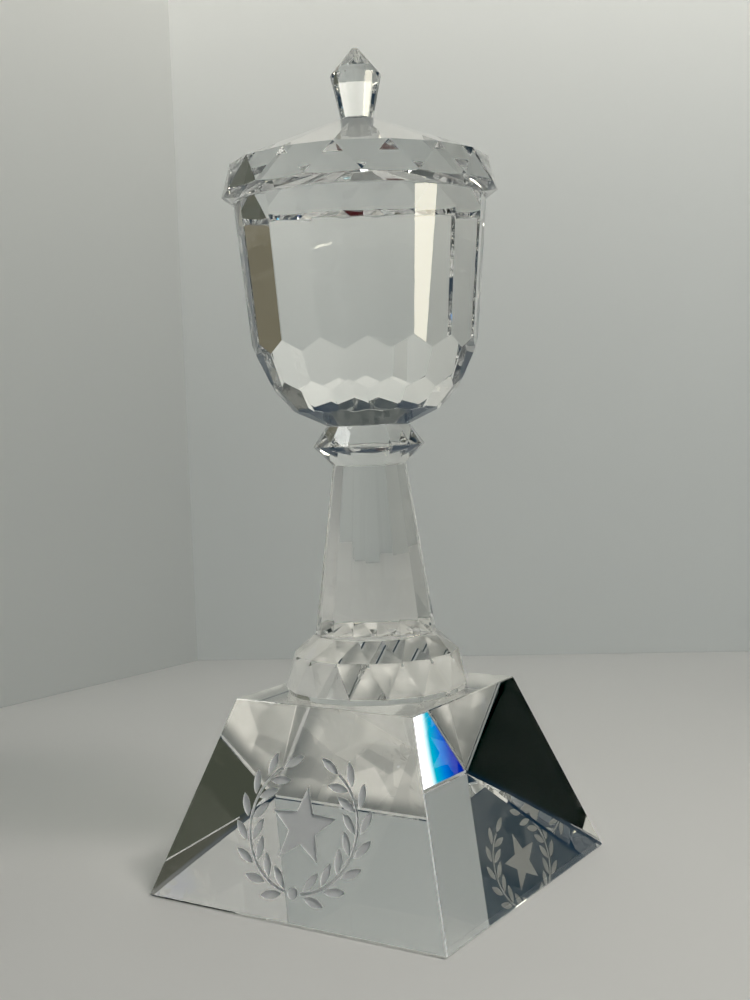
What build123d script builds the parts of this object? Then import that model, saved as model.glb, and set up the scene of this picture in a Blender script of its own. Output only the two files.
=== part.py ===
"""Crystal award: a lidded goblet of faceted glass on a tapered square base.

Seven blocks of optical glass are bonded one on another with thin films of clear adhesive.
Frame: millimetres, +Z up, origin at the centre of the base's underside, engraved face towards -Y.
"""

from build123d import *
import math
import os

# The stack, from the underside of the base up.
BASE_HEIGHT = 58.4
FOOT_HEIGHT = 17.6
STEM_HEIGHT = 52.0
KNOP_HEIGHT = 12.0
BOWL_HEIGHT = 67.8
LID_HEIGHT = 24.9
FINIAL_HEIGHT = 21.1
BOND = 0.1          # thickness of each adhesive film
BOND_INSET = 0.15   # how far a film stops short of the edge of the smaller face

# Every turned block has this many sides. A turn is the angle of its first corner from +X.
SIDES = 16
STEP = 360 / SIDES
TURN = STEP / 2
FOOT_TURN = 15.75
FINIAL_TURN = 8.3

# Base: a square block with four sloping sides and polished edges.
BASE_SIDE = 104.0
BASE_TOP_SIDE = 62.8
BASE_RIM_CHAMFER = 0.7
BASE_EDGE_CHAMFER = 0.25

# Corner radii of the turned blocks, with the heights of the rings between their ends.
FOOT_SEAT_RADIUS = 27.7
FOOT_WIDE_RADIUS = 28.6
FOOT_WIDE_HEIGHT = 1.7
FOOT_WAIST_RADIUS = 25.6
FOOT_WAIST_HEIGHT = 11.9
FOOT_TOP_RADIUS = 19.1
STEM_BOTTOM_RADIUS = 18.7
STEM_TOP_RADIUS = 11.36
KNOP_WIDE_RADIUS = 17.3
KNOP_WIDE_HEIGHT = 5.8
KNOP_TOP_RADIUS = 12.9
LID_SEAT_RADIUS = 38.8
LID_GIRDLE_RADIUS = 42.3
LID_GIRDLE_HEIGHT = 2.6
LID_SHOULDER_RADIUS = 39.5
LID_SHOULDER_HEIGHT = 11.4
LID_TOP_RADIUS = 5.2
FINIAL_BOTTOM_RADIUS = 4.9
FINIAL_WIDE_RADIUS = 7.8
FINIAL_WIDE_HEIGHT = 13.1
FINIAL_TIP_RADIUS = 0.9

# Bowl: rows of flat facets, each row half a step round from the one above. A row is given by the
# facet's lean from upright, and the radius and height above the bowl's underside of one of its points.
BOWL_BLANK_RADIUS = 45.0
BOWL_ROWS = [
    (5.1, 37.9, 67.8),
    (24.8, 30.26, 15.7),
    (41.2, 24.47, 7.4),
    (64.8, 17.13, 2.2),
]
BOWL_BOTTOM_RADIUS = 12.4
BOWL_TOP_RADIUS = 38.0       # of the turned 45 degree chamfer, which only takes off the corners

# Engraving on the base's front face: a star inside a laurel wreath, sunk by a fine sand blast.
ENGRAVING_DEPTH = 0.3
MOTIF_RISE = 27.5            # centre of the motif, measured up the slope from the bottom edge
STAR_RADIUS = 11.5
STAR_INNER_RADIUS = 4.9
WREATH_RADIUS = 18.6
TWIG_WIDTH = 0.8
LEAF_LENGTH = 7.2
LEAF_WIDTH = 2.5
LEAF_PAIRS = 7
LEAF_SPREAD = 33.0           # angle between a leaf and the twig
LEAF_OFFSET = 2.8            # from the twig's centre line to a leaf's centre
END_LEAF_GAP = 0.6           # between the twig's end and the leaf beyond it
WREATH_START = -82.0         # angles round the motif's centre, from its right
WREATH_END = 58.0
TIE_RADIUS = 1.7


def ring(radius: float, height: float, turn: float) -> list:
    """Corners of one regular polygon about the Z axis."""
    angles = [math.radians(turn + k * STEP) for k in range(SIDES)]
    return [Vector(radius * math.cos(a), radius * math.sin(a), height) for a in angles]


def flat(*corners) -> Face:
    """Flat facet through its corners."""
    return Face(Wire.make_polygon(corners, close=True))


def band(low: list, high: list, low_late: bool, high_late: bool) -> list:
    """Facets between two rings: four-sided where corners line up, triangles where one ring is late."""
    facets = []
    for k in range(SIDES):
        nxt = (k + 1) % SIDES
        if low_late == high_late:
            facets.append(flat(low[k], low[nxt], high[nxt], high[k]))
        elif high_late:
            facets.append(flat(low[k], low[nxt], high[k]))
            facets.append(flat(low[nxt], high[nxt], high[k]))
        else:
            facets.append(flat(low[k], high[nxt], high[k]))
            facets.append(flat(low[k], low[nxt], high[nxt]))
    return facets


def turned_block(rings: list, turn: float, floor: float) -> Solid:
    """Closed block from rings of (radius, height above its floor, late by half a step)."""
    corners = [ring(r, floor + h, turn + (STEP / 2 if late else 0)) for r, h, late in rings]
    facets = [flat(*corners[0]), flat(*corners[-1])]
    for i in range(len(rings) - 1):
        facets += band(corners[i], corners[i + 1], rings[i][2], rings[i + 1][2])
    return Solid(Shell(facets))


def bond_film(radius: float, turn: float, floor: float) -> Solid:
    """Adhesive film under a face of the given corner radius."""
    reach = radius - BOND_INSET
    return turned_block([(reach, 0, False), (reach, BOND, False)], turn, floor)


def round_film(radius: float, floor: float) -> Part:
    """Round adhesive film inside a circle of the given radius."""
    return Pos(0, 0, floor + BOND / 2) * Cylinder(radius - BOND_INSET, BOND)


def leaf() -> Face:
    """Pointed leaf along X, centred at its middle."""
    base_tip = (-LEAF_LENGTH / 2, 0)
    end_tip = (LEAF_LENGTH / 2, 0)
    upper = ThreePointArc(base_tip, (0, LEAF_WIDTH / 2), end_tip)
    lower = ThreePointArc(end_tip, (0, -LEAF_WIDTH / 2), base_tip)
    return make_face([upper, lower])


def star() -> Face:
    """Five-pointed star with one point up."""
    points = []
    for k in range(10):
        reach = STAR_INNER_RADIUS if k % 2 else STAR_RADIUS
        angle = math.radians(90 + 36 * k)
        points.append((reach * math.cos(angle), reach * math.sin(angle)))
    return make_face(Polyline(*points, close=True))


def twig() -> Face:
    """Curved twig of the right-hand branch, a thin band along the wreath's circle."""
    half = TWIG_WIDTH / 2
    span = WREATH_END - WREATH_START
    outer = CenterArc((0, 0), WREATH_RADIUS + half, WREATH_START, span)
    inner = CenterArc((0, 0), WREATH_RADIUS - half, WREATH_START, span)
    ends = [Line(outer @ 0, inner @ 0), Line(outer @ 1, inner @ 1)]
    return make_face([outer, inner, *ends])


def motif() -> Sketch:
    """Star, wreath of two branches, and the tie where the branches meet."""
    art = Sketch() + star() + Pos(0, -WREATH_RADIUS) * Circle(TIE_RADIUS)
    pitch = (WREATH_END - WREATH_START) / LEAF_PAIRS
    branch = Sketch() + twig()
    for k in range(LEAF_PAIRS):
        around = WREATH_START + (k + 0.62) * pitch
        for side in (-1, 1):
            place = Rot(0, 0, around) * Pos(WREATH_RADIUS + side * LEAF_OFFSET, 0)
            branch += place * Rot(0, 0, 90 - side * LEAF_SPREAD) * leaf()
    beyond = Pos(WREATH_RADIUS, LEAF_LENGTH / 2 + END_LEAF_GAP)
    branch += Rot(0, 0, WREATH_END) * beyond * Rot(0, 0, 90) * leaf()
    return art + branch + mirror(branch, Plane.YZ)


def make_base() -> Part:
    """Square block with sloping sides, arrised edges and the engraving in its front face."""
    half = BASE_SIDE / 2
    top = BASE_TOP_SIDE / 2
    foot_print = Rectangle(BASE_SIDE, BASE_SIDE)
    top_face = Pos(0, 0, BASE_HEIGHT) * Rectangle(BASE_TOP_SIDE, BASE_TOP_SIDE)
    block = loft([foot_print, top_face])
    rim = block.edges().group_by(Axis.Z)[0]
    block = chamfer(rim, BASE_RIM_CHAMFER)
    upper = [e for e in block.edges() if e.center().Z > 2 * BASE_RIM_CHAMFER]
    block = chamfer(upper, BASE_EDGE_CHAMFER)
    slope = math.atan2(BASE_HEIGHT, half - top)
    front = Plane(
        origin=(0, -half, 0),
        x_dir=(1, 0, 0),
        z_dir=(0, -math.sin(slope), math.cos(slope)),
    )
    sunk = extrude(front * Pos(0, MOTIF_RISE) * motif(), amount=-ENGRAVING_DEPTH)
    return block - sunk


def make_foot(floor: float) -> Solid:
    """Domed foot: a narrow lower chamfer and two bands of triangles."""
    rings = [
        (FOOT_SEAT_RADIUS, 0, False),
        (FOOT_WIDE_RADIUS, FOOT_WIDE_HEIGHT, False),
        (FOOT_WAIST_RADIUS, FOOT_WAIST_HEIGHT, True),
        (FOOT_TOP_RADIUS, FOOT_HEIGHT, False),
    ]
    return turned_block(rings, FOOT_TURN, floor)


def make_stem(floor: float) -> Solid:
    """Tapered sixteen-sided column."""
    rings = [(STEM_BOTTOM_RADIUS, 0, False), (STEM_TOP_RADIUS, STEM_HEIGHT, False)]
    return turned_block(rings, TURN, floor)


def make_knop(floor: float) -> Solid:
    """Double cone collar between the stem and the bowl."""
    rings = [
        (STEM_TOP_RADIUS, 0, False),
        (KNOP_WIDE_RADIUS, KNOP_WIDE_HEIGHT, False),
        (KNOP_TOP_RADIUS, KNOP_HEIGHT, False),
    ]
    return turned_block(rings, TURN, floor)


def make_bowl(floor: float) -> Part:
    """Goblet body, ground from a round blank by one flat cut for each facet."""
    body = Pos(0, 0, floor + BOWL_HEIGHT / 2) * Cylinder(BOWL_BLANK_RADIUS, BOWL_HEIGHT)
    for row, (lean, radius, height) in enumerate(BOWL_ROWS):
        tilt = math.radians(lean)
        for k in range(SIDES):
            around = math.radians((k + (0.5 if row % 2 else 0)) * STEP)
            out = Vector(math.cos(around), math.sin(around), 0)
            touch = out * radius + Vector(0, 0, floor + height)
            facing = out * math.cos(tilt) - Vector(0, 0, math.sin(tilt))
            body = split(body, Plane(origin=touch, z_dir=facing), keep=Keep.BOTTOM)
    spread = BOWL_TOP_RADIUS + BOWL_HEIGHT
    turned = Pos(0, 0, floor + BOWL_HEIGHT / 2) * Cone(spread, BOWL_TOP_RADIUS, BOWL_HEIGHT)
    return body & turned


def make_lid(floor: float) -> Part:
    """Lid: rim band of triangles and shallow cone of sixteen facets, on a round turned underside."""
    rise = LID_SHOULDER_HEIGHT - LID_GIRDLE_HEIGHT
    across_flats = math.cos(math.radians(STEP / 2))
    lean = (LID_GIRDLE_RADIUS * across_flats - LID_SHOULDER_RADIUS) / rise
    rim_foot = LID_GIRDLE_RADIUS + lean * LID_GIRDLE_HEIGHT / across_flats
    rings = [
        (rim_foot, 0, False),
        (LID_GIRDLE_RADIUS, LID_GIRDLE_HEIGHT, False),
        (LID_SHOULDER_RADIUS, LID_SHOULDER_HEIGHT, True),
        (LID_TOP_RADIUS, LID_HEIGHT, True),
    ]
    flare = (LID_GIRDLE_RADIUS - LID_SEAT_RADIUS) / LID_GIRDLE_HEIGHT
    reach = LID_SEAT_RADIUS + flare * LID_HEIGHT
    turned = Pos(0, 0, floor + LID_HEIGHT / 2) * Cone(LID_SEAT_RADIUS, reach, LID_HEIGHT)
    return turned & turned_block(rings, TURN, floor)


def make_finial(floor: float) -> Solid:
    """Knob that widens upwards and ends in a pointed cap."""
    rings = [
        (FINIAL_BOTTOM_RADIUS, 0, False),
        (FINIAL_WIDE_RADIUS, FINIAL_WIDE_HEIGHT, False),
        (FINIAL_TIP_RADIUS, FINIAL_HEIGHT, False),
    ]
    return turned_block(rings, FINIAL_TURN, floor)


def build() -> dict:
    """All pieces by node name, stacked from the base up with a film at each joint."""
    levels = {}
    level = BASE_HEIGHT
    heights = {
        "foot": FOOT_HEIGHT,
        "stem": STEM_HEIGHT,
        "knop": KNOP_HEIGHT,
        "bowl": BOWL_HEIGHT,
        "lid": LID_HEIGHT,
        "finial": FINIAL_HEIGHT,
    }
    for name, height in heights.items():
        levels[name] = level + BOND
        level = levels[name] + height
    return {
        "base": make_base(),
        "foot_bond": bond_film(FOOT_SEAT_RADIUS, FOOT_TURN, levels["foot"] - BOND),
        "foot": make_foot(levels["foot"]),
        "stem_bond": bond_film(STEM_BOTTOM_RADIUS, TURN, levels["stem"] - BOND),
        "stem": make_stem(levels["stem"]),
        "knop_bond": bond_film(STEM_TOP_RADIUS, TURN, levels["knop"] - BOND),
        "knop": make_knop(levels["knop"]),
        "bowl_bond": bond_film(BOWL_BOTTOM_RADIUS, 0, levels["bowl"] - BOND),
        "bowl": make_bowl(levels["bowl"]),
        "lid_bond": round_film(BOWL_ROWS[0][1], levels["lid"] - BOND),
        "lid": make_lid(levels["lid"]),
        "finial_bond": bond_film(FINIAL_BOTTOM_RADIUS, FINIAL_TURN, levels["finial"] - BOND),
        "finial": make_finial(levels["finial"]),
    }


os.makedirs("parts", exist_ok=True)
for node, piece in build().items():
    export_step(piece, f"parts/{node}.step")
    print(node, round(piece.volume, 1), "mm3", "valid" if piece.is_valid else "INVALID")
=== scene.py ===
"""Looks of a crystal award: bonded blocks of clear faceted glass, in a small pale studio.

Metres throughout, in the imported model's own frame: +Z up, the engraved face of the base towards -Y.
"""

from __future__ import annotations

import logging
import math
from dataclasses import dataclass, field, fields
from enum import Enum

import bmesh
import bpy
from mathutils import Matrix, Vector
from mathutils.geometry import delaunay_2d_cdt

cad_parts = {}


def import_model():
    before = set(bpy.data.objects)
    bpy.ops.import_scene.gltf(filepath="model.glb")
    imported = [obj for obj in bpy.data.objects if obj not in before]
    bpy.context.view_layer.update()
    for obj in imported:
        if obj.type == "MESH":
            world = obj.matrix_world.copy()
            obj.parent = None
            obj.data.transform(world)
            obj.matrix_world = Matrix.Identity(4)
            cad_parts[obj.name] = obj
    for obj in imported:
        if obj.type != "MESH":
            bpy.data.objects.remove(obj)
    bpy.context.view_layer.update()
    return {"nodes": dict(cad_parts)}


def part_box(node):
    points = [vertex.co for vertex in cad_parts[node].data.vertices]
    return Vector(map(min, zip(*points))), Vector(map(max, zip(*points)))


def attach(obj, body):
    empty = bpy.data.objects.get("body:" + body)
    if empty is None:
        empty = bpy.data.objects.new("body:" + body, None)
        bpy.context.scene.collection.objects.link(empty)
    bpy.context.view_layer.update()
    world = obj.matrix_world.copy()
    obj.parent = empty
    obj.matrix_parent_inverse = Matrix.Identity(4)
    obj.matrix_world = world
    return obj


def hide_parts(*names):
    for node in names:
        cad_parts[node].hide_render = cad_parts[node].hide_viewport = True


LOG = logging.getLogger("crystal_award")
BODY = "root"
MILLI = 0.001
BLACK_POINT = 0.014
LEVEL_NORMAL = 0.9999
MERGE_GAP = 1e-9
Colour = tuple[float, float, float, float]


class Slot(Enum):
    """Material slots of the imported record."""

    BASE_GLASS = "base_glass"
    CUP_GLASS = "cup_glass"
    ADHESIVE = "adhesive"


class Reach(Enum):
    """What a soft light acts on: the matte boards, or what the glass mirrors and bends."""

    BOARDS = "boards"
    GLASS = "glass"


# ---------------------------------------------------------------- shader helpers


def add_node(tree: bpy.types.NodeTree, kind: str, **settings: object) -> bpy.types.Node:
    """Add one node to a tree and set its own properties.

    Args:
        tree: the tree that gets the node.
        kind: the node's Blender type name.
        settings: node properties by name.

    Returns:
        The new node.
    """
    node = tree.nodes.new(kind)
    for name, value in settings.items():
        setattr(node, name, value)
    return node


def set_inputs(node: bpy.types.Node, **values: object) -> bpy.types.Node:
    """Set plain values on a node's sockets.

    Args:
        node: the node.
        values: values by socket name, with underscores for the spaces.

    Returns:
        The same node.
    """
    for name, value in values.items():
        node.inputs[name.replace("_", " ")].default_value = value
    return node


def new_material(name: str) -> tuple[bpy.types.Material, bpy.types.NodeTree, bpy.types.Node]:
    """Start a node material with only its output node.

    Args:
        name: the material's name.

    Returns:
        The material, its node tree and its output node.
    """
    material = bpy.data.materials.new(name)
    material.use_nodes = True
    tree = material.node_tree
    tree.nodes.clear()
    return material, tree, add_node(tree, "ShaderNodeOutputMaterial")


@dataclass(frozen=True)
class GroupSocket:
    """One named socket of a shader node group."""

    name: str
    kind: str = "NodeSocketFloat"
    value: float | None = None


def new_group(name: str, inputs: list[GroupSocket], outputs: list[GroupSocket]) -> tuple:
    """Start a shader node group with named sockets.

    Args:
        name: the group's name.
        inputs: sockets that each material sets for itself.
        outputs: sockets that the materials read.

    Returns:
        The group's tree, its input node and its output node.
    """
    tree = bpy.data.node_groups.new(name, "ShaderNodeTree")
    for way, sockets in (("INPUT", inputs), ("OUTPUT", outputs)):
        for socket in sockets:
            made = tree.interface.new_socket(socket.name, in_out=way, socket_type=socket.kind)
            if socket.value is not None:
                made.default_value = socket.value
    return tree, add_node(tree, "NodeGroupInput"), add_node(tree, "NodeGroupOutput")


def handling_group() -> bpy.types.NodeTree:
    """Shader group for traces of handling on polished glass: faint smears and sparse fine dust.

    Returns:
        A group that puts out a roughness over the surface.
    """
    tree, source, target = new_group(
        "handling_traces",
        [
            GroupSocket("Vector", "NodeSocketVector"),
            GroupSocket("Smear", value=0.02),
            GroupSocket("Dust", value=0.2),
        ],
        [GroupSocket("Roughness")],
    )
    smear = set_inputs(add_node(tree, "ShaderNodeTexNoise"), Scale=38.0, Detail=4.0, Roughness=0.62)
    patch = add_node(tree, "ShaderNodeMapRange", interpolation_type="SMOOTHSTEP")
    set_inputs(patch, From_Min=0.58, From_Max=0.8, To_Min=0.0, To_Max=1.0)
    soft = add_node(tree, "ShaderNodeMath", operation="MULTIPLY")
    specks = set_inputs(add_node(tree, "ShaderNodeTexVoronoi"), Scale=900.0, Randomness=1.0)
    near = add_node(tree, "ShaderNodeMapRange")
    set_inputs(near, From_Min=0.03, From_Max=0.07, To_Min=1.0, To_Max=0.0)
    dust = add_node(tree, "ShaderNodeMath", operation="MULTIPLY")
    sparse = set_inputs(add_node(tree, "ShaderNodeTexNoise"), Scale=120.0, Detail=1.0)
    few = add_node(tree, "ShaderNodeMapRange")
    set_inputs(few, From_Min=0.6, From_Max=0.62, To_Min=0.0, To_Max=1.0)
    kept = add_node(tree, "ShaderNodeMath", operation="MULTIPLY")
    total = add_node(tree, "ShaderNodeMath", operation="ADD", use_clamp=True)
    link = tree.links.new
    for texture in (smear, specks, sparse):
        link(source.outputs["Vector"], texture.inputs["Vector"])
    link(smear.outputs[0], patch.inputs["Value"])
    link(patch.outputs[0], soft.inputs[0])
    link(source.outputs["Smear"], soft.inputs[1])
    link(specks.outputs["Distance"], near.inputs["Value"])
    link(sparse.outputs[0], few.inputs["Value"])
    link(near.outputs[0], kept.inputs[0])
    link(few.outputs[0], kept.inputs[1])
    link(kept.outputs[0], dust.inputs[0])
    link(source.outputs["Dust"], dust.inputs[1])
    link(soft.outputs[0], total.inputs[0])
    link(dust.outputs[0], total.inputs[1])
    link(total.outputs[0], target.inputs["Roughness"])
    return tree


def blast_group() -> bpy.types.NodeTree:
    """Shader group for a sand-blasted surface: pits of mixed size, a little lighter in patches.

    Returns:
        A group that puts out a colour mask, a roughness and a height over the surface.
    """
    tree, source, target = new_group(
        "blasted_surface",
        [
            GroupSocket("Vector", "NodeSocketVector"),
            GroupSocket("Grain", value=4200.0),
            GroupSocket("Roughness", value=0.6),
        ],
        [GroupSocket("Cloud"), GroupSocket("Roughness"), GroupSocket("Height")],
    )
    pits = set_inputs(add_node(tree, "ShaderNodeTexNoise"), Detail=3.0, Roughness=0.7)
    cloud = set_inputs(add_node(tree, "ShaderNodeTexNoise"), Scale=260.0, Detail=3.0)
    swing = add_node(tree, "ShaderNodeMapRange")
    set_inputs(swing, From_Min=0.3, From_Max=0.7, To_Min=-0.06, To_Max=0.06)
    rough = add_node(tree, "ShaderNodeMath", operation="ADD", use_clamp=True)
    link = tree.links.new
    link(source.outputs["Vector"], pits.inputs["Vector"])
    link(source.outputs["Vector"], cloud.inputs["Vector"])
    link(source.outputs["Grain"], pits.inputs["Scale"])
    link(pits.outputs[0], swing.inputs["Value"])
    link(swing.outputs[0], rough.inputs[0])
    link(source.outputs["Roughness"], rough.inputs[1])
    link(cloud.outputs[0], target.inputs["Cloud"])
    link(rough.outputs[0], target.inputs["Roughness"])
    link(pits.outputs[0], target.inputs["Height"])
    return tree


class SharedGroups:
    """Shader groups that several finishes use, each built once."""

    def __init__(self) -> None:
        """Build the groups."""
        self.handling = handling_group()
        self.blast = blast_group()


# ---------------------------------------------------------------- finishes


@dataclass(frozen=True)
class ClearGlass:
    """Polished optical glass, with faint traces of handling.

    The tint is what a passage through one face keeps of each colour, and the shade is what a face keeps
    of the light on its way to the floor behind it.
    """

    name: str
    tint: Colour = (0.975, 0.985, 0.975, 1.0)
    shade: Colour = (0.86, 0.87, 0.86, 1.0)
    ior: float = 1.52
    smear: float = 0.03
    dust: float = 0.1

    def build(self, shared: SharedGroups) -> bpy.types.Material:
        """Make the material.

        Args:
            shared: the shader groups to place in it.

        Returns:
            The finished material.
        """
        material, tree, output = new_material(self.name)
        place = add_node(tree, "ShaderNodeTexCoord")
        traces = add_node(tree, "ShaderNodeGroup", node_tree=shared.handling)
        set_inputs(traces, Smear=self.smear, Dust=self.dust)
        glass = add_node(tree, "ShaderNodeBsdfPrincipled")
        set_inputs(glass, Base_Color=self.tint, IOR=self.ior, Transmission_Weight=1.0)
        link = tree.links.new
        link(place.outputs["Object"], traces.inputs["Vector"])
        link(traces.outputs["Roughness"], glass.inputs["Roughness"])
        path = add_node(tree, "ShaderNodeLightPath")
        passing = set_inputs(add_node(tree, "ShaderNodeBsdfTransparent"), Color=self.shade)
        mix = add_node(tree, "ShaderNodeMixShader")
        link(path.outputs["Is Shadow Ray"], mix.inputs[0])
        link(glass.outputs[0], mix.inputs[1])
        link(passing.outputs[0], mix.inputs[2])
        link(mix.outputs[0], output.inputs["Surface"])
        return material


@dataclass(frozen=True)
class BlastedGlass:
    """Sand-blasted glass of the engraving: pale, rough and hardly see-through.

    The colour and the shade are the lighter and darker ends of its cloudy patches.
    """

    name: str
    colour: Colour = (0.98, 0.98, 0.97, 1.0)
    shade: Colour = (0.92, 0.93, 0.92, 1.0)
    roughness: float = 0.62
    clearness: float = 0.05
    pit_depth: float = 0.03 * MILLI
    pit_strength: float = 0.5
    ior: float = 1.52

    def build(self, shared: SharedGroups) -> bpy.types.Material:
        """Make the material.

        Args:
            shared: the shader groups to place in it.

        Returns:
            The finished material.
        """
        material, tree, output = new_material(self.name)
        place = add_node(tree, "ShaderNodeTexCoord")
        blast = add_node(tree, "ShaderNodeGroup", node_tree=shared.blast)
        set_inputs(blast, Roughness=self.roughness)
        colour = add_node(tree, "ShaderNodeMix", data_type="RGBA")
        colour.inputs[6].default_value = self.shade
        colour.inputs[7].default_value = self.colour
        bump = set_inputs(add_node(tree, "ShaderNodeBump"), Strength=self.pit_strength)
        set_inputs(bump, Distance=self.pit_depth)
        glass = add_node(tree, "ShaderNodeBsdfPrincipled")
        set_inputs(glass, IOR=self.ior, Transmission_Weight=self.clearness)
        link = tree.links.new
        link(place.outputs["Object"], blast.inputs["Vector"])
        link(blast.outputs["Cloud"], colour.inputs[0])
        link(colour.outputs[2], glass.inputs["Base Color"])
        link(blast.outputs["Roughness"], glass.inputs["Roughness"])
        link(blast.outputs["Height"], bump.inputs["Height"])
        link(bump.outputs["Normal"], glass.inputs["Normal"])
        link(glass.outputs[0], output.inputs["Surface"])
        return material


@dataclass(frozen=True)
class WettedJoint:
    """Face that lies against cured adhesive of the glass's own index, so light goes straight on."""

    name: str

    def build(self) -> bpy.types.Material:
        """Make the material, a clear one with no surface of its own.

        Returns:
            The finished material.
        """
        material, tree, output = new_material(self.name)
        clear = add_node(tree, "ShaderNodeBsdfTransparent")
        tree.links.new(clear.outputs[0], output.inputs["Surface"])
        return material


@dataclass(frozen=True)
class PaintedLightPatches:
    """Painted pools of light: straight-sided patches that glow on the table under the award, standing in
    for the light that its faceted blocks gather there.

    Each layer of patches is given by its scale, in patches per metre, and how bright its patches are.
    """

    reach: float = 0.05
    fade: float = 0.006
    layers: tuple[tuple[float, float], ...] = ((34.0, 0.34), (75.0, 0.2))
    slant: float = 0.7

    def strength(self, tree: bpy.types.NodeTree, place: bpy.types.NodeSocket) -> bpy.types.NodeSocket:
        """Lay out the patches.

        Args:
            tree: the table's shader tree.
            place: the socket that gives each point's place.

        Returns:
            The socket that gives how brightly each point glows.
        """
        link = tree.links.new
        split = add_node(tree, "ShaderNodeSeparateXYZ")
        away = add_node(tree, "ShaderNodeMath", operation="MAXIMUM")
        link(place, split.inputs[0])
        for axis in (0, 1):
            side = add_node(tree, "ShaderNodeMath", operation="ABSOLUTE")
            link(split.outputs[axis], side.inputs[0])
            link(side.outputs[0], away.inputs[axis])
        cover = add_node(tree, "ShaderNodeMapRange", interpolation_type="SMOOTHSTEP")
        set_inputs(cover, From_Min=self.reach - self.fade, From_Max=self.reach, To_Min=1.0, To_Max=0.0)
        link(away.outputs[0], cover.inputs["Value"])
        total = None
        for scale, brightness in self.layers:
            turned = add_node(tree, "ShaderNodeMapping")
            set_inputs(turned, Rotation=(0.0, 0.0, self.slant * scale))
            cells = set_inputs(add_node(tree, "ShaderNodeTexVoronoi"), Scale=scale)
            spread = add_node(tree, "ShaderNodeSeparateColor")
            bright = add_node(tree, "ShaderNodeMath", operation="MULTIPLY_ADD")
            bright.inputs[1].default_value = brightness
            bright.inputs[2].default_value = 0.0
            link(place, turned.inputs[0])
            link(turned.outputs[0], cells.inputs["Vector"])
            link(cells.outputs["Color"], spread.inputs[0])
            link(spread.outputs[0], bright.inputs[0])
            if total:
                link(total, bright.inputs[2])
            total = bright.outputs[0]
        kept = add_node(tree, "ShaderNodeMath", operation="MULTIPLY")
        link(total, kept.inputs[0])
        link(cover.outputs[0], kept.inputs[1])
        return kept.outputs[0]


@dataclass(frozen=True)
class MattePaper:
    """Pale matte board of the studio; a one-sided board is seen from its front only.

    The glow is painted light: an emission, as if the board were lit through from behind, that is brightest
    at the board's head and fades out downwards as a power of the height. Painted patches of light, if
    given, glow on the board too.
    """

    name: str
    colour: Colour
    mottle: float = 0.02
    # painted glow, brightest at the board's head
    one_sided: bool = False
    glow: float = 0.0
    painted_glow_colour: Colour = (1.0, 0.95, 0.84, 1.0)
    painted_glow_head: float = 0.53
    painted_glow_power: float = 3.3
    painted_patches: PaintedLightPatches | None = None

    def build(self) -> bpy.types.Material:
        """Make the material.

        Returns:
            The finished material.
        """
        material, tree, output = new_material(self.name)
        place = add_node(tree, "ShaderNodeTexCoord")
        noise = set_inputs(add_node(tree, "ShaderNodeTexNoise"), Scale=7.0, Detail=5.0)
        colour = add_node(tree, "ShaderNodeMix", data_type="RGBA")
        low = tuple(c * (1 - self.mottle) for c in self.colour[:3])
        colour.inputs[6].default_value = (*low, 1.0)
        colour.inputs[7].default_value = self.colour
        board = set_inputs(add_node(tree, "ShaderNodeBsdfPrincipled"), Roughness=0.7)
        board.inputs["Specular IOR Level"].default_value = 0.2
        link = tree.links.new
        link(place.outputs["Object"], noise.inputs["Vector"])
        link(noise.outputs[0], colour.inputs[0])
        link(colour.outputs[2], board.inputs["Base Color"])
        # painted glow: emission that grows with the height up to the board's head
        if self.glow:
            split = add_node(tree, "ShaderNodeSeparateXYZ")
            share = add_node(tree, "ShaderNodeMath", operation="DIVIDE", use_clamp=True)
            share.inputs[1].default_value = self.painted_glow_head
            rise = add_node(tree, "ShaderNodeMath", operation="POWER")
            rise.inputs[1].default_value = self.painted_glow_power
            strength = add_node(tree, "ShaderNodeMath", operation="MULTIPLY")
            strength.inputs[1].default_value = self.glow
            set_inputs(board, Emission_Color=self.painted_glow_colour)
            link(place.outputs["Object"], split.inputs[0])
            link(split.outputs["Z"], share.inputs[0])
            link(share.outputs[0], rise.inputs[0])
            link(rise.outputs[0], strength.inputs[0])
            link(strength.outputs[0], board.inputs["Emission Strength"])
        # painted pools of light: the table glows in patches under the award
        if self.painted_patches:
            patches = self.painted_patches.strength(tree, place.outputs["Object"])
            set_inputs(board, Emission_Color=self.painted_glow_colour)
            link(patches, board.inputs["Emission Strength"])
        if not self.one_sided:
            link(board.outputs[0], output.inputs["Surface"])
            return material
        side = add_node(tree, "ShaderNodeNewGeometry")
        clear = add_node(tree, "ShaderNodeBsdfTransparent")
        mix = add_node(tree, "ShaderNodeMixShader")
        link(side.outputs["Backfacing"], mix.inputs[0])
        link(board.outputs[0], mix.inputs[1])
        link(clear.outputs[0], mix.inputs[2])
        link(mix.outputs[0], output.inputs["Surface"])
        return material


# ---------------------------------------------------------------- mesh helpers


def mesh_piece(name: str, mesh: bpy.types.Mesh, replaced: str) -> bpy.types.Object:
    """Put a finished mesh in the scene as one piece of the award.

    Args:
        name: the piece's name.
        mesh: its mesh, in the model's frame.
        replaced: the CAD node that it stands for.

    Returns:
        The piece's object.
    """
    piece = bpy.data.objects.new(name, mesh)
    bpy.context.scene.collection.objects.link(piece)
    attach(piece, BODY)
    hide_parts(replaced)
    return piece


def outline(node: bpy.types.Object) -> list[Vector]:
    """Corners of a CAD film seen from above, in order round the Z axis.

    Args:
        node: the film's CAD object.

    Returns:
        One point for each corner, with Z left at nought.
    """
    found: dict[tuple[float, float], Vector] = {}
    for vertex in node.data.vertices:
        key = (round(vertex.co.x, 6), round(vertex.co.y, 6))
        found[key] = Vector((vertex.co.x, vertex.co.y, 0.0))
    return sorted(found.values(), key=lambda p: math.atan2(p.y, p.x))


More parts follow.
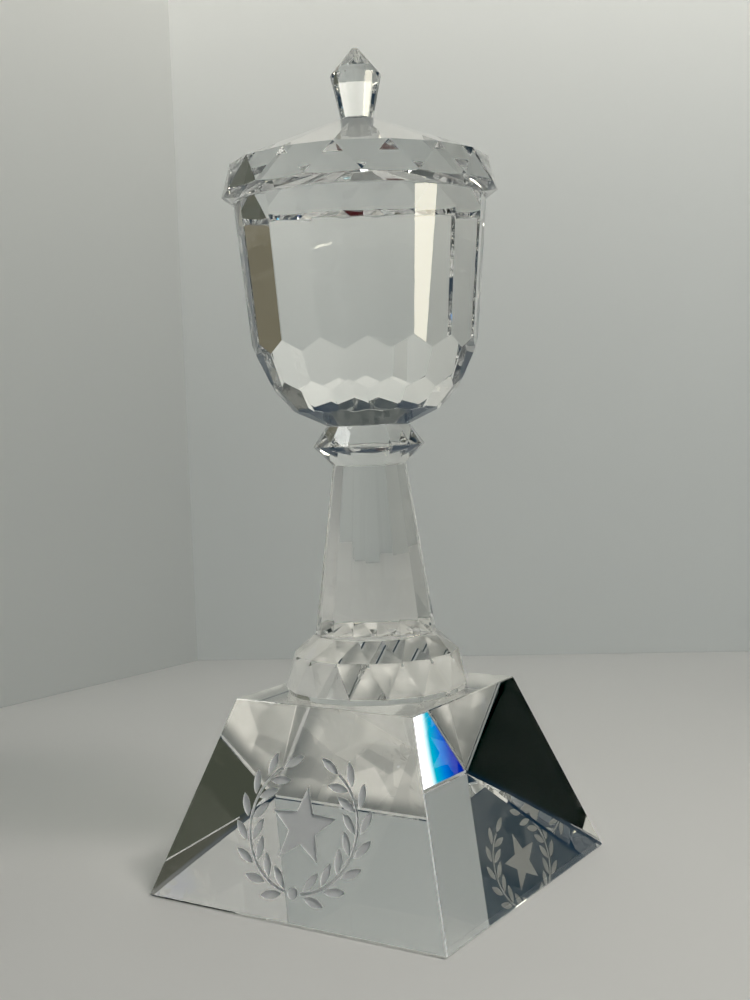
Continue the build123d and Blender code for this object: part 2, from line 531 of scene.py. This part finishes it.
def inside(point: Vector, corners: list[Vector]) -> bool:
    """Tell whether a point lies within a convex outline.

    Args:
        point: the point, with Z at nought.
        corners: the outline's corners, anticlockwise.

    Returns:
        True if it lies within.
    """
    following = corners[1:] + corners[:1]
    return all((b - a).cross(point - a).z > 0 for a, b in zip(corners, following))


@dataclass
class FacetedBlock:
    """One ground and polished block of the award, taken from its CAD node.

    The arris is the width of the polished edge between two facets. Faces that meet at less than the
    turned angle are steps of one round turned face. The lower and upper bonds are the CAD films that
    the block is wetted by, if any.
    """

    node: str
    slot: Slot = Slot.CUP_GLASS
    arris: float = 0.22 * MILLI
    lower_bond: str = ""
    upper_bond: str = ""
    weld: float = 0.002 * MILLI
    flat_angle: float = math.radians(0.6)
    turned_angle: float = math.radians(3.0)

    def clean_mesh(self, source: bpy.types.Mesh) -> bmesh.types.BMesh:
        """Copy of the CAD mesh with its triangles welded, joined into flat facets and arrised.

        Args:
            source: the CAD node's mesh, which is left alone.

        Returns:
            A new closed mesh.
        """
        shape = bmesh.new()
        shape.from_mesh(source)
        bmesh.ops.remove_doubles(shape, verts=shape.verts, dist=self.weld)
        if self.arris:
            bmesh.ops.dissolve_limit(
                shape, angle_limit=self.flat_angle, verts=shape.verts, edges=shape.edges
            )
            bends = {e: e.calc_face_angle(0.0) for e in shape.edges}
            steps = [e for e, bend in bends.items() if self.flat_angle < bend < self.turned_angle]
            turned = {f for e in steps for f in e.link_faces}
            for face in shape.faces:
                face.material_index = 1 if face in turned else 0
            sharp = [e for e, bend in bends.items() if bend >= self.turned_angle]
            bmesh.ops.bevel(
                shape,
                geom=sharp,
                offset=self.arris,
                offset_type="WIDTH",
                segments=2,
                profile=0.6,
                affect="EDGES",
                clamp_overlap=True,
            )
        for face in shape.faces:
            face.smooth = face.material_index == 1
            face.material_index = 0
        for edge in shape.edges:
            rounded = all(f.smooth for f in edge.link_faces)
            edge.smooth = rounded and edge.calc_face_angle(0.0) < self.turned_angle
        return shape

    def wet_joint(self, shape: bmesh.types.BMesh, corners: list[Vector], level: float) -> None:
        """Cut the film's outline into the flat face at a joint and mark what is inside it as wetted.

        Args:
            shape: the block's mesh.
            corners: the film's outline.
            level: the height of the joint face.
        """
        seats = [
            f
            for f in shape.faces
            if abs(f.normal.z) > LEVEL_NORMAL and abs(f.calc_center_median().z - level) < self.weld
        ]
        upward = seats[0].normal.z > 0
        rim_edges = [e for f in seats for e in f.edges if sum(g in seats for g in e.link_faces) == 1]
        rim = sorted({v for e in rim_edges for v in e.verts}, key=lambda v: math.atan2(v.co.y, v.co.x))
        bmesh.ops.delete(shape, geom=seats, context="FACES")
        film = [shape.verts.new((p.x, p.y, level)) for p in corners]
        verts = rim + film
        count = len(rim)
        loops = [(i, (i + 1) % count) for i in range(count)]
        loops += [(count + i, count + (i + 1) % len(film)) for i in range(len(film))]
        flat = [v.co.to_2d() for v in verts]
        points, _, triangles, origin, _, _ = delaunay_2d_cdt(flat, loops, [], 0, MERGE_GAP)
        for triangle in triangles:
            picked = [verts[origin[i][0]] for i in triangle]
            if not upward:
                picked.reverse()
            face = shape.faces.new(picked)
            middle = sum((v.co for v in picked), Vector()) / 3
            middle.z = 0.0
            face.material_index = 1 if inside(middle, corners) else 0

    def build(self, nodes: dict, finishes: list[bpy.types.Material]) -> bpy.types.Object:
        """Make the block's piece.

        Args:
            nodes: the CAD objects by name.
            finishes: its clear glass, its wetted joint and any further finish.

        Returns:
            The finished piece.
        """
        shape = self.clean_mesh(nodes[self.node].data)
        low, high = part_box(self.node)
        if self.lower_bond:
            self.wet_joint(shape, outline(nodes[self.lower_bond]), low.z)
        if self.upper_bond:
            self.wet_joint(shape, outline(nodes[self.upper_bond]), high.z)
        self.dress(shape)
        mesh = bpy.data.meshes.new(f"{self.node}_block")
        shape.to_mesh(mesh)
        shape.free()
        for finish in finishes:
            mesh.materials.append(finish)
        return mesh_piece(f"{self.node}_block", mesh, self.node)

    def dress(self, shape: bmesh.types.BMesh) -> None:
        """Give further faces their finish; a plain block has none."""


@dataclass
class EngravedBase(FacetedBlock):
    """The square base, whose engraving in the front face is blasted.

    The blasted faces are those that lie deeper than the front face by a share of the blasting depth
    that is within the depth range. The margin keeps the base's own top and bottom edges out of them.
    """

    blast_depth: float = 0.3 * MILLI
    depth_range: tuple[float, float] = (0.1, 1.1)
    margin: float = 1.5 * MILLI
    front_lean: float = -0.9

    def dress(self, shape: bmesh.types.BMesh) -> None:
        """Mark the floors and walls of the engraving as blasted.

        Args:
            shape: the base's mesh.
        """
        front = [f for f in shape.faces if f.normal.y < self.front_lean]
        largest = max(front, key=lambda f: f.calc_area())
        facing, anchor = largest.normal.copy(), largest.verts[0].co.copy()
        low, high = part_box(self.node)
        shallow, deep = (share * self.blast_depth for share in self.depth_range)
        for face in shape.faces:
            middle = face.calc_center_median()
            depth = (anchor - middle).dot(facing)
            held = low.z + self.margin < middle.z < high.z - self.margin
            if held and shallow < depth < deep:
                face.material_index = 2


@dataclass
class AdhesiveBead:
    """Film of cured adhesive between two blocks, with an edge that draws in a little as it cures."""

    node: str
    draw_in: float = 0.02 * MILLI
    weld: float = 0.001 * MILLI

    def tree(self) -> bpy.types.NodeTree:
        """Geometry node tree of a film: a polygon raised in two steps, narrower half way up.

        Returns:
            The tree, with named inputs for the film's sizes and finishes.
        """
        made = bpy.data.node_groups.get("adhesive_film")
        if made:
            return made
        tree = bpy.data.node_groups.new("adhesive_film", "GeometryNodeTree")
        face = tree.interface
        for name, kind in (
            ("Corners", "NodeSocketInt"),
            ("Corner Radius", "NodeSocketFloat"),
            ("Turn", "NodeSocketFloat"),
            ("Floor", "NodeSocketFloat"),
            ("Thickness", "NodeSocketFloat"),
            ("Draw In", "NodeSocketFloat"),
            ("Wetted", "NodeSocketMaterial"),
            ("Edge", "NodeSocketMaterial"),
        ):
            face.new_socket(name, in_out="INPUT", socket_type=kind)
        face.new_socket("Geometry", in_out="OUTPUT", socket_type="NodeSocketGeometry")
        source, target = add_node(tree, "NodeGroupInput"), add_node(tree, "NodeGroupOutput")
        link = tree.links.new

        def maths(operation: str, a: bpy.types.NodeSocket, b: object) -> bpy.types.NodeSocket:
            """Join two values by one operation.

            Args:
                operation: the operation's Blender name.
                a: the first value's socket.
                b: the second value's socket, or a plain number.

            Returns:
                The result's socket.
            """
            node = add_node(tree, "ShaderNodeMath", operation=operation)
            link(a, node.inputs[0])
            if isinstance(b, float):
                node.inputs[1].default_value = b
            else:
                link(b, node.inputs[1])
            return node.outputs[0]

        disc = add_node(tree, "GeometryNodeMeshCircle", fill_type="NGON")
        link(source.outputs["Corners"], disc.inputs["Vertices"])
        link(source.outputs["Corner Radius"], disc.inputs["Radius"])
        turn, shift = add_node(tree, "ShaderNodeCombineXYZ"), add_node(tree, "ShaderNodeCombineXYZ")
        link(source.outputs["Turn"], turn.inputs["Z"])
        link(source.outputs["Floor"], shift.inputs["Z"])
        half = maths("MULTIPLY", source.outputs["Thickness"], 0.5)
        waist = maths("SUBTRACT", source.outputs["Corner Radius"], source.outputs["Draw In"])
        shrink = maths("DIVIDE", waist, source.outputs["Corner Radius"])
        swell = maths("DIVIDE", source.outputs["Corner Radius"], waist)
        body, top = disc.outputs[0], None
        for factor in (shrink, swell):
            extrude = add_node(tree, "GeometryNodeExtrudeMesh", mode="FACES")
            extrude.inputs["Individual"].default_value = False
            scale = add_node(tree, "GeometryNodeScaleElements")
            link(body, extrude.inputs["Mesh"])
            if top:
                link(top, extrude.inputs["Selection"])
            link(half, extrude.inputs["Offset Scale"])
            link(extrude.outputs[0], scale.inputs["Geometry"])
            link(extrude.outputs["Top"], scale.inputs["Selection"])
            link(factor, scale.inputs["Scale"])
            body, top = scale.outputs[0], extrude.outputs["Top"]
        sides = add_node(tree, "GeometryNodeSetMaterial")
        link(body, sides.inputs["Geometry"])
        link(source.outputs["Edge"], sides.inputs["Material"])
        cap = add_node(tree, "GeometryNodeSetMaterial")
        link(sides.outputs[0], cap.inputs["Geometry"])
        link(top, cap.inputs["Selection"])
        link(source.outputs["Wetted"], cap.inputs["Material"])
        under = add_node(tree, "GeometryNodeFlipFaces")
        link(disc.outputs[0], under.inputs["Mesh"])
        sole = add_node(tree, "GeometryNodeSetMaterial")
        link(under.outputs[0], sole.inputs["Geometry"])
        link(source.outputs["Wetted"], sole.inputs["Material"])
        whole = add_node(tree, "GeometryNodeJoinGeometry")
        link(sole.outputs[0], whole.inputs[0])
        link(cap.outputs[0], whole.inputs[0])
        weld = add_node(tree, "GeometryNodeMergeByDistance")
        weld.inputs["Distance"].default_value = self.weld
        link(whole.outputs[0], weld.inputs["Geometry"])
        place = add_node(tree, "GeometryNodeTransform")
        link(weld.outputs[0], place.inputs["Geometry"])
        link(turn.outputs[0], place.inputs["Rotation"])
        link(shift.outputs[0], place.inputs["Translation"])
        real = add_node(tree, "GeometryNodeRealizeInstances")
        link(place.outputs[0], real.inputs[0])
        link(real.outputs[0], target.inputs["Geometry"])
        return tree

    def build(self, nodes: dict, wetted: bpy.types.Material, edge: bpy.types.Material) -> bpy.types.Object:
        """Make the film's piece.

        Args:
            nodes: the CAD objects by name.
            wetted: finish of the faces against the glass.
            edge: finish of the film's own edge.

        Returns:
            The finished piece.
        """
        corners = outline(nodes[self.node])
        low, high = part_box(self.node)
        first = corners[0]
        maker = bpy.data.objects.new(f"{self.node}_maker", bpy.data.meshes.new("empty_start"))
        bpy.context.scene.collection.objects.link(maker)
        modifier = maker.modifiers.new("film", "NODES")
        modifier.node_group = self.tree()
        values = {
            "Corners": len(corners),
            "Corner Radius": first.length,
            "Turn": math.atan2(first.y, first.x),
            "Floor": low.z,
            "Thickness": high.z - low.z,
            "Draw In": self.draw_in,
            "Wetted": wetted,
            "Edge": edge,
        }
        for item in modifier.node_group.interface.items_tree:
            if item.name in values:
                modifier[item.identifier] = values[item.name]
        bpy.context.view_layer.update()
        graph = bpy.context.evaluated_depsgraph_get()
        mesh = bpy.data.meshes.new_from_object(maker.evaluated_get(graph), depsgraph=graph)
        bpy.data.objects.remove(maker)
        mesh.name = f"{self.node}_film"
        return mesh_piece(f"{self.node}_film", mesh, self.node)


# ---------------------------------------------------------------- studio


def heading(azimuth: float, elevation: float = 0.0) -> Vector:
    """Direction that an azimuth and an elevation give.

    Args:
        azimuth: degrees from +X towards +Y.
        elevation: degrees up.

    Returns:
        The direction, of unit length.
    """
    around, up = math.radians(azimuth), math.radians(elevation)
    return Vector((math.cos(around) * math.cos(up), math.sin(around) * math.cos(up), math.sin(up)))


def flat_stage(name: str, corners: list, finish: bpy.types.Material) -> bpy.types.Object:
    """Make one flat board of the studio.

    Args:
        name: the board's name.
        corners: its corners in order.
        finish: its material.

    Returns:
        The board's object, marked as stage.
    """
    mesh = bpy.data.meshes.new(name)
    mesh.from_pydata(corners, [], [tuple(range(len(corners)))])
    mesh.materials.append(finish)
    board = bpy.data.objects.new(name, mesh)
    bpy.context.scene.collection.objects.link(board)
    return board


@dataclass
class Wall:
    """Upright backdrop board that stands on the floor between two points."""

    name: str
    start: tuple[float, float]
    end: tuple[float, float]
    height: float

    def build(self, finish: bpy.types.Material) -> bpy.types.Object:
        """Make the board, facing the award.

        Args:
            finish: the board's material.

        Returns:
            The board's object.
        """
        (x0, y0), (x1, y1) = self.start, self.end
        corners = [(x0, y0, 0), (x1, y1, 0), (x1, y1, self.height), (x0, y0, self.height)]
        across = Vector((x1 - x0, y1 - y0, 0))
        if across.cross(Vector((0, 0, 1))).dot(Vector((-x0, -y0, 0))) < 0:
            corners.reverse()
        return flat_stage(self.name, corners, finish)


@dataclass
class SoftBox:
    """Rectangular soft light that faces the award.

    Its brightness is that of its surface, so the power follows from its size. A light that reaches the
    boards only isn't seen in the glass, and one that reaches the glass only doesn't light the boards.
    """

    name: str
    azimuth: float
    elevation: float
    distance: float
    width: float
    height: float
    brightness: float
    colour: tuple[float, float, float] = (1.0, 1.0, 1.0)
    reach: Reach = Reach.GLASS

    def build(self, aim: Vector) -> bpy.types.Object:
        """Make the light.

        Args:
            aim: the point that the light faces.

        Returns:
            The light's object.
        """
        place = aim + heading(self.azimuth, self.elevation) * self.distance
        light = bpy.data.lights.new(self.name, "AREA")
        light.shape = "RECTANGLE"
        light.size = self.width
        light.size_y = self.height
        light.energy = math.pi * self.width * self.height * self.brightness
        light.color = self.colour
        lamp = bpy.data.objects.new(self.name, light)
        lamp.location = place
        lamp.rotation_euler = (aim - place).to_track_quat("-Z", "Y").to_euler()
        lamp.visible_camera = False
        lamp.visible_diffuse = self.reach is Reach.BOARDS
        lamp.visible_glossy = self.reach is Reach.GLASS
        lamp.visible_transmission = self.reach is Reach.GLASS
        bpy.context.scene.collection.objects.link(lamp)
        return lamp


@dataclass
class GlowCard:
    """Card that only the glass sees, with its colours in bands from side to side or upwards."""

    name: str
    azimuth: float
    elevation: float
    distance: float
    width: float
    height: float
    bands: list[tuple[float, Colour]]
    upwards: bool = False
    brightness: float = 1.0

    def finish(self) -> bpy.types.Material:
        """Make the card's glowing material.

        Returns:
            The material.
        """
        material, tree, output = new_material(f"{self.name}_glow")
        place = add_node(tree, "ShaderNodeTexCoord")
        split = add_node(tree, "ShaderNodeSeparateXYZ")
        ramp = add_node(tree, "ShaderNodeValToRGB")
        glow = set_inputs(add_node(tree, "ShaderNodeEmission"), Strength=self.brightness)
        stops = ramp.color_ramp.elements
        while len(stops) < len(self.bands):
            stops.new(1.0)
        for stop, (position, colour) in zip(stops, self.bands):
            stop.position = position
            stop.color = colour
        tree.links.new(place.outputs["Generated"], split.inputs[0])
        tree.links.new(split.outputs[1 if self.upwards else 0], ramp.inputs[0])
        tree.links.new(ramp.outputs[0], glow.inputs["Color"])
        tree.links.new(glow.outputs[0], output.inputs["Surface"])
        return material

    def build(self, aim: Vector) -> bpy.types.Object:
        """Make the card.

        Args:
            aim: the point that the card faces.

        Returns:
            The card's object.
        """
        x, y = self.width / 2, self.height / 2
        card = flat_stage(self.name, [(-x, -y, 0), (x, -y, 0), (x, y, 0), (-x, y, 0)], self.finish())
        way = heading(self.azimuth, self.elevation)
        card.location = aim + way * self.distance
        card.rotation_euler = way.to_track_quat("-Z", "Y").to_euler()
        card.visible_camera = False
        card.visible_diffuse = False
        card.visible_shadow = False
        return card


@dataclass(frozen=True)
class SkyPatch:
    """Round soft-edged patch of the room beyond the studio, as the glass sees it."""

    azimuth: float
    elevation: float
    inner: float
    outer: float
    colour: Colour


@dataclass
class Surroundings:
    """The room round the studio: plain and pale to the eye, and patchy and dim to the glass."""

    eye_colour: Colour = (0.46, 0.47, 0.47, 1.0)
    dim_colour: Colour = (0.022, 0.04, 0.062, 1.0)
    patches: list[SkyPatch] = field(
        default_factory=lambda: [
            SkyPatch(25.0, 2.0, 14.0, 28.0, (0.34, 0.32, 0.27, 1.0)),
            SkyPatch(75.0, -10.0, 14.0, 24.0, (0.06, 0.052, 0.036, 1.0)),
            SkyPatch(65.0, 33.0, 7.0, 11.0, (0.085, 0.085, 0.066, 1.0)),
            SkyPatch(59.0, 3.0, 9.0, 15.0, (0.004, 0.006, 0.006, 1.0)),
            SkyPatch(120.0, 62.0, 25.0, 50.0, (0.085, 0.095, 0.09, 1.0)),
            SkyPatch(130.0, 74.0, 9.0, 16.0, (0.32, 0.32, 0.30, 1.0)),
            SkyPatch(-16.0, 30.0, 8.0, 16.0, (0.025, 0.042, 0.055, 1.0)),
            SkyPatch(-150.0, 42.0, 18.0, 36.0, (0.005, 0.008, 0.007, 1.0)),
        ]
    )

    def build(self) -> None:
        """Make the world."""
        world = bpy.data.worlds.new("room")
        bpy.context.scene.world = world
        world.use_nodes = True
        tree = world.node_tree
        tree.nodes.clear()
        output = add_node(tree, "ShaderNodeOutputWorld")
        eye = set_inputs(add_node(tree, "ShaderNodeBackground"), Color=self.eye_colour)
        room = add_node(tree, "ShaderNodeBackground")
        path = add_node(tree, "ShaderNodeLightPath")
        mix = add_node(tree, "ShaderNodeMixShader")
        link = tree.links.new
        link(self.patchwork(tree), room.inputs["Color"])
        link(path.outputs["Is Camera Ray"], mix.inputs[0])
        link(room.outputs[0], mix.inputs[1])
        link(eye.outputs[0], mix.inputs[2])
        link(mix.outputs[0], output.inputs["Surface"])

    def patchwork(self, tree: bpy.types.NodeTree) -> bpy.types.NodeSocket:
        """Lay the patches over the dim colour, each over those before it.

        Args:
            tree: the world's node tree.

        Returns:
            The socket that has the room's colour for each direction.
        """
        place = add_node(tree, "ShaderNodeTexCoord")
        link = tree.links.new
        laid = None
        for patch in self.patches:
            facing = add_node(tree, "ShaderNodeVectorMath", operation="DOT_PRODUCT")
            facing.inputs[1].default_value = heading(patch.azimuth, patch.elevation)
            angle = add_node(tree, "ShaderNodeMath", operation="ARCCOSINE")
            cover = add_node(tree, "ShaderNodeMapRange", interpolation_type="SMOOTHSTEP")
            set_inputs(cover, From_Min=math.radians(patch.inner), From_Max=math.radians(patch.outer))
            set_inputs(cover, To_Min=1.0, To_Max=0.0)
            colour = add_node(tree, "ShaderNodeMix", data_type="RGBA")
            colour.inputs[6].default_value = self.dim_colour
            colour.inputs[7].default_value = patch.colour
            link(place.outputs["Generated"], facing.inputs[0])
            link(facing.outputs["Value"], angle.inputs[0])
            link(angle.outputs[0], cover.inputs["Value"])
            link(cover.outputs[0], colour.inputs[0])
            if laid:
                link(laid, colour.inputs[6])
            laid = colour.outputs[2]
        return laid


@dataclass
class Studio:
    """Pale floor and two pale boards behind, with their lights and what the glass mirrors.

    The key lights the boards, and the other lights and the cards are seen in the glass only. The boards
    carry a painted glow at their heads, and the left board is the back board's paper with painted shade:
    the left shade share scales its colour and its painted glow.
    """

    floor_gap: float = 0.2 * MILLI
    table_reach: float = 1.2
    floor_reach: float = 2.5
    floor_drop: float = 1.0 * MILLI
    corner: tuple[float, float] = (-0.297, 0.265)
    left_end: tuple[float, float] = (-0.319, -0.035)
    back_end: tuple[float, float] = (0.026, 0.425)
    wall_height: float = 0.53
    # painted glow at the boards' heads
    wall_painted_glow: float = 0.72
    left_shade_share: float = 0.78
    floor_colour: Colour = (0.74, 0.74, 0.72, 1.0)
    wall_colour: Colour = (0.74, 0.77, 0.755, 1.0)
    aim: Vector = field(default_factory=lambda: Vector((0.0, 0.0, 0.1)))
    lights: list[SoftBox] = field(
        default_factory=lambda: [
            SoftBox("key", -6.0, 52.0, 0.85, 0.17, 0.17, 54.0, (1.0, 0.97, 0.91), Reach.BOARDS),
            SoftBox("window", 10.4, -3.0, 5.0, 0.763, 1.05, 10.5, (1.0, 0.93, 0.74)),
            SoftBox("ceiling_gap", 163.0, 68.0, 1.2, 0.13, 0.16, 6.0),
        ]
    )
    cards: list[GlowCard] = field(
        default_factory=lambda: [
            GlowCard(
                "far_end",
                azimuth=79.0,
                elevation=13.0,
                distance=1.0,
                width=0.28,
                height=0.8,
                bands=[
                    (0.0, (0.06, 0.026, 0.022, 1.0)),
                    (0.07, (0.06, 0.028, 0.024, 1.0)),
                    (0.12, (0.11, 0.115, 0.09, 1.0)),
                    (0.43, (0.11, 0.115, 0.09, 1.0)),
                    (0.5, (0.2, 0.18, 0.125, 1.0)),
                    (0.73, (0.2, 0.18, 0.125, 1.0)),
                    (0.8, (0.075, 0.08, 0.06, 1.0)),
                ],
                upwards=True,
            ),
            GlowCard(
                "split_light",
                azimuth=-7.0,
                elevation=52.5,
                distance=3.0,
                width=0.66,
                height=0.63,
                bands=[
                    (0.0, (0.02, 0.04, 0.08, 1.0)),
                    (0.24, (0.0, 0.005, 0.12, 1.0)),
                    (0.34, (0.0, 0.01, 0.16, 1.0)),
                    (0.42, (0.0, 0.08, 0.28, 1.0)),
                    (0.5, (0.0, 0.2, 0.26, 1.0)),
                    (0.6, (1.0, 1.0, 1.0, 1.0)),
                    (0.75, (1.0, 1.0, 0.92, 1.0)),
                    (1.0, (0.95, 0.85, 0.5, 1.0)),
                ],
                brightness=4.0,
            ),
            GlowCard(
                "red_cloth",
                azimuth=-61.5,
                elevation=-25.0,
                distance=0.235,
                width=0.05,
                height=0.12,
                bands=[(0.0, (0.06, 0.015, 0.015, 1.0)), (1.0, (0.06, 0.015, 0.015, 1.0))],
            ),
        ]
    )

    def build(self) -> None:
        """Make the boards, the lights and the surroundings."""
        # the table carries painted pools of light under the award
        table = MattePaper("table_board_painted_light", self.floor_colour, painted_patches=PaintedLightPatches())
        self.floor("table", self.table_reach, self.floor_gap, table.build())
        board = MattePaper("floor_board", self.floor_colour)
        beyond = self.floor("floor", self.floor_reach, self.floor_gap + self.floor_drop, board.build())
        beyond.visible_glossy = False
        beyond.visible_transmission = False
        beyond.visible_diffuse = False
        beyond.visible_shadow = False
        # painted shade: the left board is a darker copy of the back board, in colour and in painted glow
        shaded_colour = tuple(c * self.left_shade_share for c in self.wall_colour[:3])
        left_painted_glow = self.wall_painted_glow * self.left_shade_share
        left = MattePaper("left_board_painted_shade_glow", (*shaded_colour, 1.0), one_sided=True, glow=left_painted_glow)
        back = MattePaper("back_board_painted_glow", self.wall_colour, one_sided=True, glow=self.wall_painted_glow)
        Wall("left_wall", self.left_end, self.corner, self.wall_height).build(left.build())
        Wall("back_wall", self.corner, self.back_end, self.wall_height).build(back.build())
        for item in (*self.lights, *self.cards):
            item.build(self.aim)
        Surroundings().build()

    def floor(self, name: str, reach: float, drop: float, finish: bpy.types.Material) -> bpy.types.Object:
        """Make one square of floor.

        Args:
            name: its name.
            reach: how far it goes from the award each way.
            drop: how far it lies under the award.
            finish: its material.

        Returns:
            The floor's object.
        """
        square = [(-reach, -reach), (reach, -reach), (reach, reach), (-reach, reach)]
        return flat_stage(name, [(x, y, -drop) for x, y in square], finish)


@dataclass
class StudioCamera:
    """Camera on a stand in front of the award, a little to its right.

    The angles are in degrees: the azimuth round the award from -Y towards +X, and the camera's turn,
    tilt and roll from facing the award's axis level. The lens is in millimetres.
    """

    azimuth: float = 32.66
    distance: float = 0.4187
    height: float = 0.1441
    turn: float = -0.17
    tilt: float = -3.7
    roll: float = -2.08
    lens: float = 48.72
    nearest: float = 0.01

    def build(self) -> bpy.types.Object:
        """Make the camera and use it for the scene.

        Returns:
            The camera's object.
        """
        around = math.radians(self.azimuth)
        data = bpy.data.cameras.new("studio_camera")
        data.lens = self.lens
        data.clip_start = self.nearest
        camera = bpy.data.objects.new("studio_camera", data)
        bpy.context.scene.collection.objects.link(camera)
        facing = Matrix.Rotation(around + math.radians(self.turn), 4, "Z")
        tilted = Matrix.Rotation(math.radians(90 + self.tilt), 4, "X")
        rolled = Matrix.Rotation(math.radians(self.roll), 4, "Z")
        place = Vector((self.distance * math.sin(around), -self.distance * math.cos(around), self.height))
        camera.matrix_world = Matrix.Translation(place) @ facing @ tilted @ rolled
        bpy.context.scene.camera = camera
        return camera


# ---------------------------------------------------------------- award


@dataclass
class Award:
    """The whole award: seven blocks and the six films that bond them."""

    blocks: list[FacetedBlock] = field(
        default_factory=lambda: [
            EngravedBase("base", Slot.BASE_GLASS, arris=0.0, upper_bond="foot_bond"),
            FacetedBlock("foot", lower_bond="foot_bond", upper_bond="stem_bond"),
            FacetedBlock("stem", lower_bond="stem_bond", upper_bond="knop_bond"),
            FacetedBlock("knop", lower_bond="knop_bond", upper_bond="bowl_bond"),
            FacetedBlock("bowl", lower_bond="bowl_bond", upper_bond="lid_bond"),
            FacetedBlock("lid", lower_bond="lid_bond", upper_bond="finial_bond"),
            FacetedBlock("finial", lower_bond="finial_bond", arris=0.1 * MILLI),
        ]
    )

    def build(self, nodes: dict) -> None:
        """Make and dress every piece.

        Args:
            nodes: the CAD objects by name.
        """
        shared = SharedGroups()
        wetted = WettedJoint("wetted_joint").build()
        cup = ClearGlass("cup_glass_polished").build(shared)
        base = ClearGlass("base_glass_polished", shade=(0.62, 0.63, 0.62, 1.0)).build(shared)
        blasted = BlastedGlass("base_glass_blasted").build(shared)
        edge = ClearGlass("adhesive_edge", tint=(0.95, 0.95, 0.9, 1.0), smear=0.3).build(shared)
        for block in self.blocks:
            finishes = [cup, wetted] if block.slot is Slot.CUP_GLASS else [base, wetted, blasted]
            report(block.build(nodes, finishes))
        films = sorted(name for name in nodes if name.endswith("_bond"))
        for film in films:
            report(AdhesiveBead(film).build(nodes, wetted, edge))


def report(piece: bpy.types.Object) -> None:
    """Log one finished piece and how many of its edges are open.

    Args:
        piece: the piece.
    """
    mesh = piece.data
    shape = bmesh.new()
    shape.from_mesh(mesh)
    loose = sum(1 for e in shape.edges if len(e.link_faces) != 2)
    shape.free()
    LOG.info("%s: %d faces, %d open edges", piece.name, len(mesh.polygons), loose)


@dataclass(frozen=True)
class LightPaths:
    """How many faces light may meet before it is given up, enough to pass through blocks of glass."""

    max_bounces: int = 28
    glossy_bounces: int = 24
    transmission_bounces: int = 28
    transparent_max_bounces: int = 64
    diffuse_bounces: int = 3
    sample_clamp_indirect: float = 12.0

    def use(self) -> None:
        """Set them on the scene."""
        for item in fields(self):
            setattr(bpy.context.scene.cycles, item.name, getattr(self, item.name))


def develop() -> None:
    """Show colours as they are, with a true black point so that clear dark glass isn't veiled."""
    view = bpy.context.scene.view_settings
    view.view_transform = "Standard"
    view.use_curve_mapping = True
    view.curve_mapping.black_level = (BLACK_POINT, BLACK_POINT, BLACK_POINT)
    view.curve_mapping.update()


def main() -> None:
    """Build the award and its studio."""
    logging.basicConfig(level=logging.INFO, format="%(message)s")
    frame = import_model()
    StudioCamera().build()
    Award().build(frame["nodes"])
    Studio().build()
    LightPaths().use()
    develop()


if __name__ == "__main__":
    main()
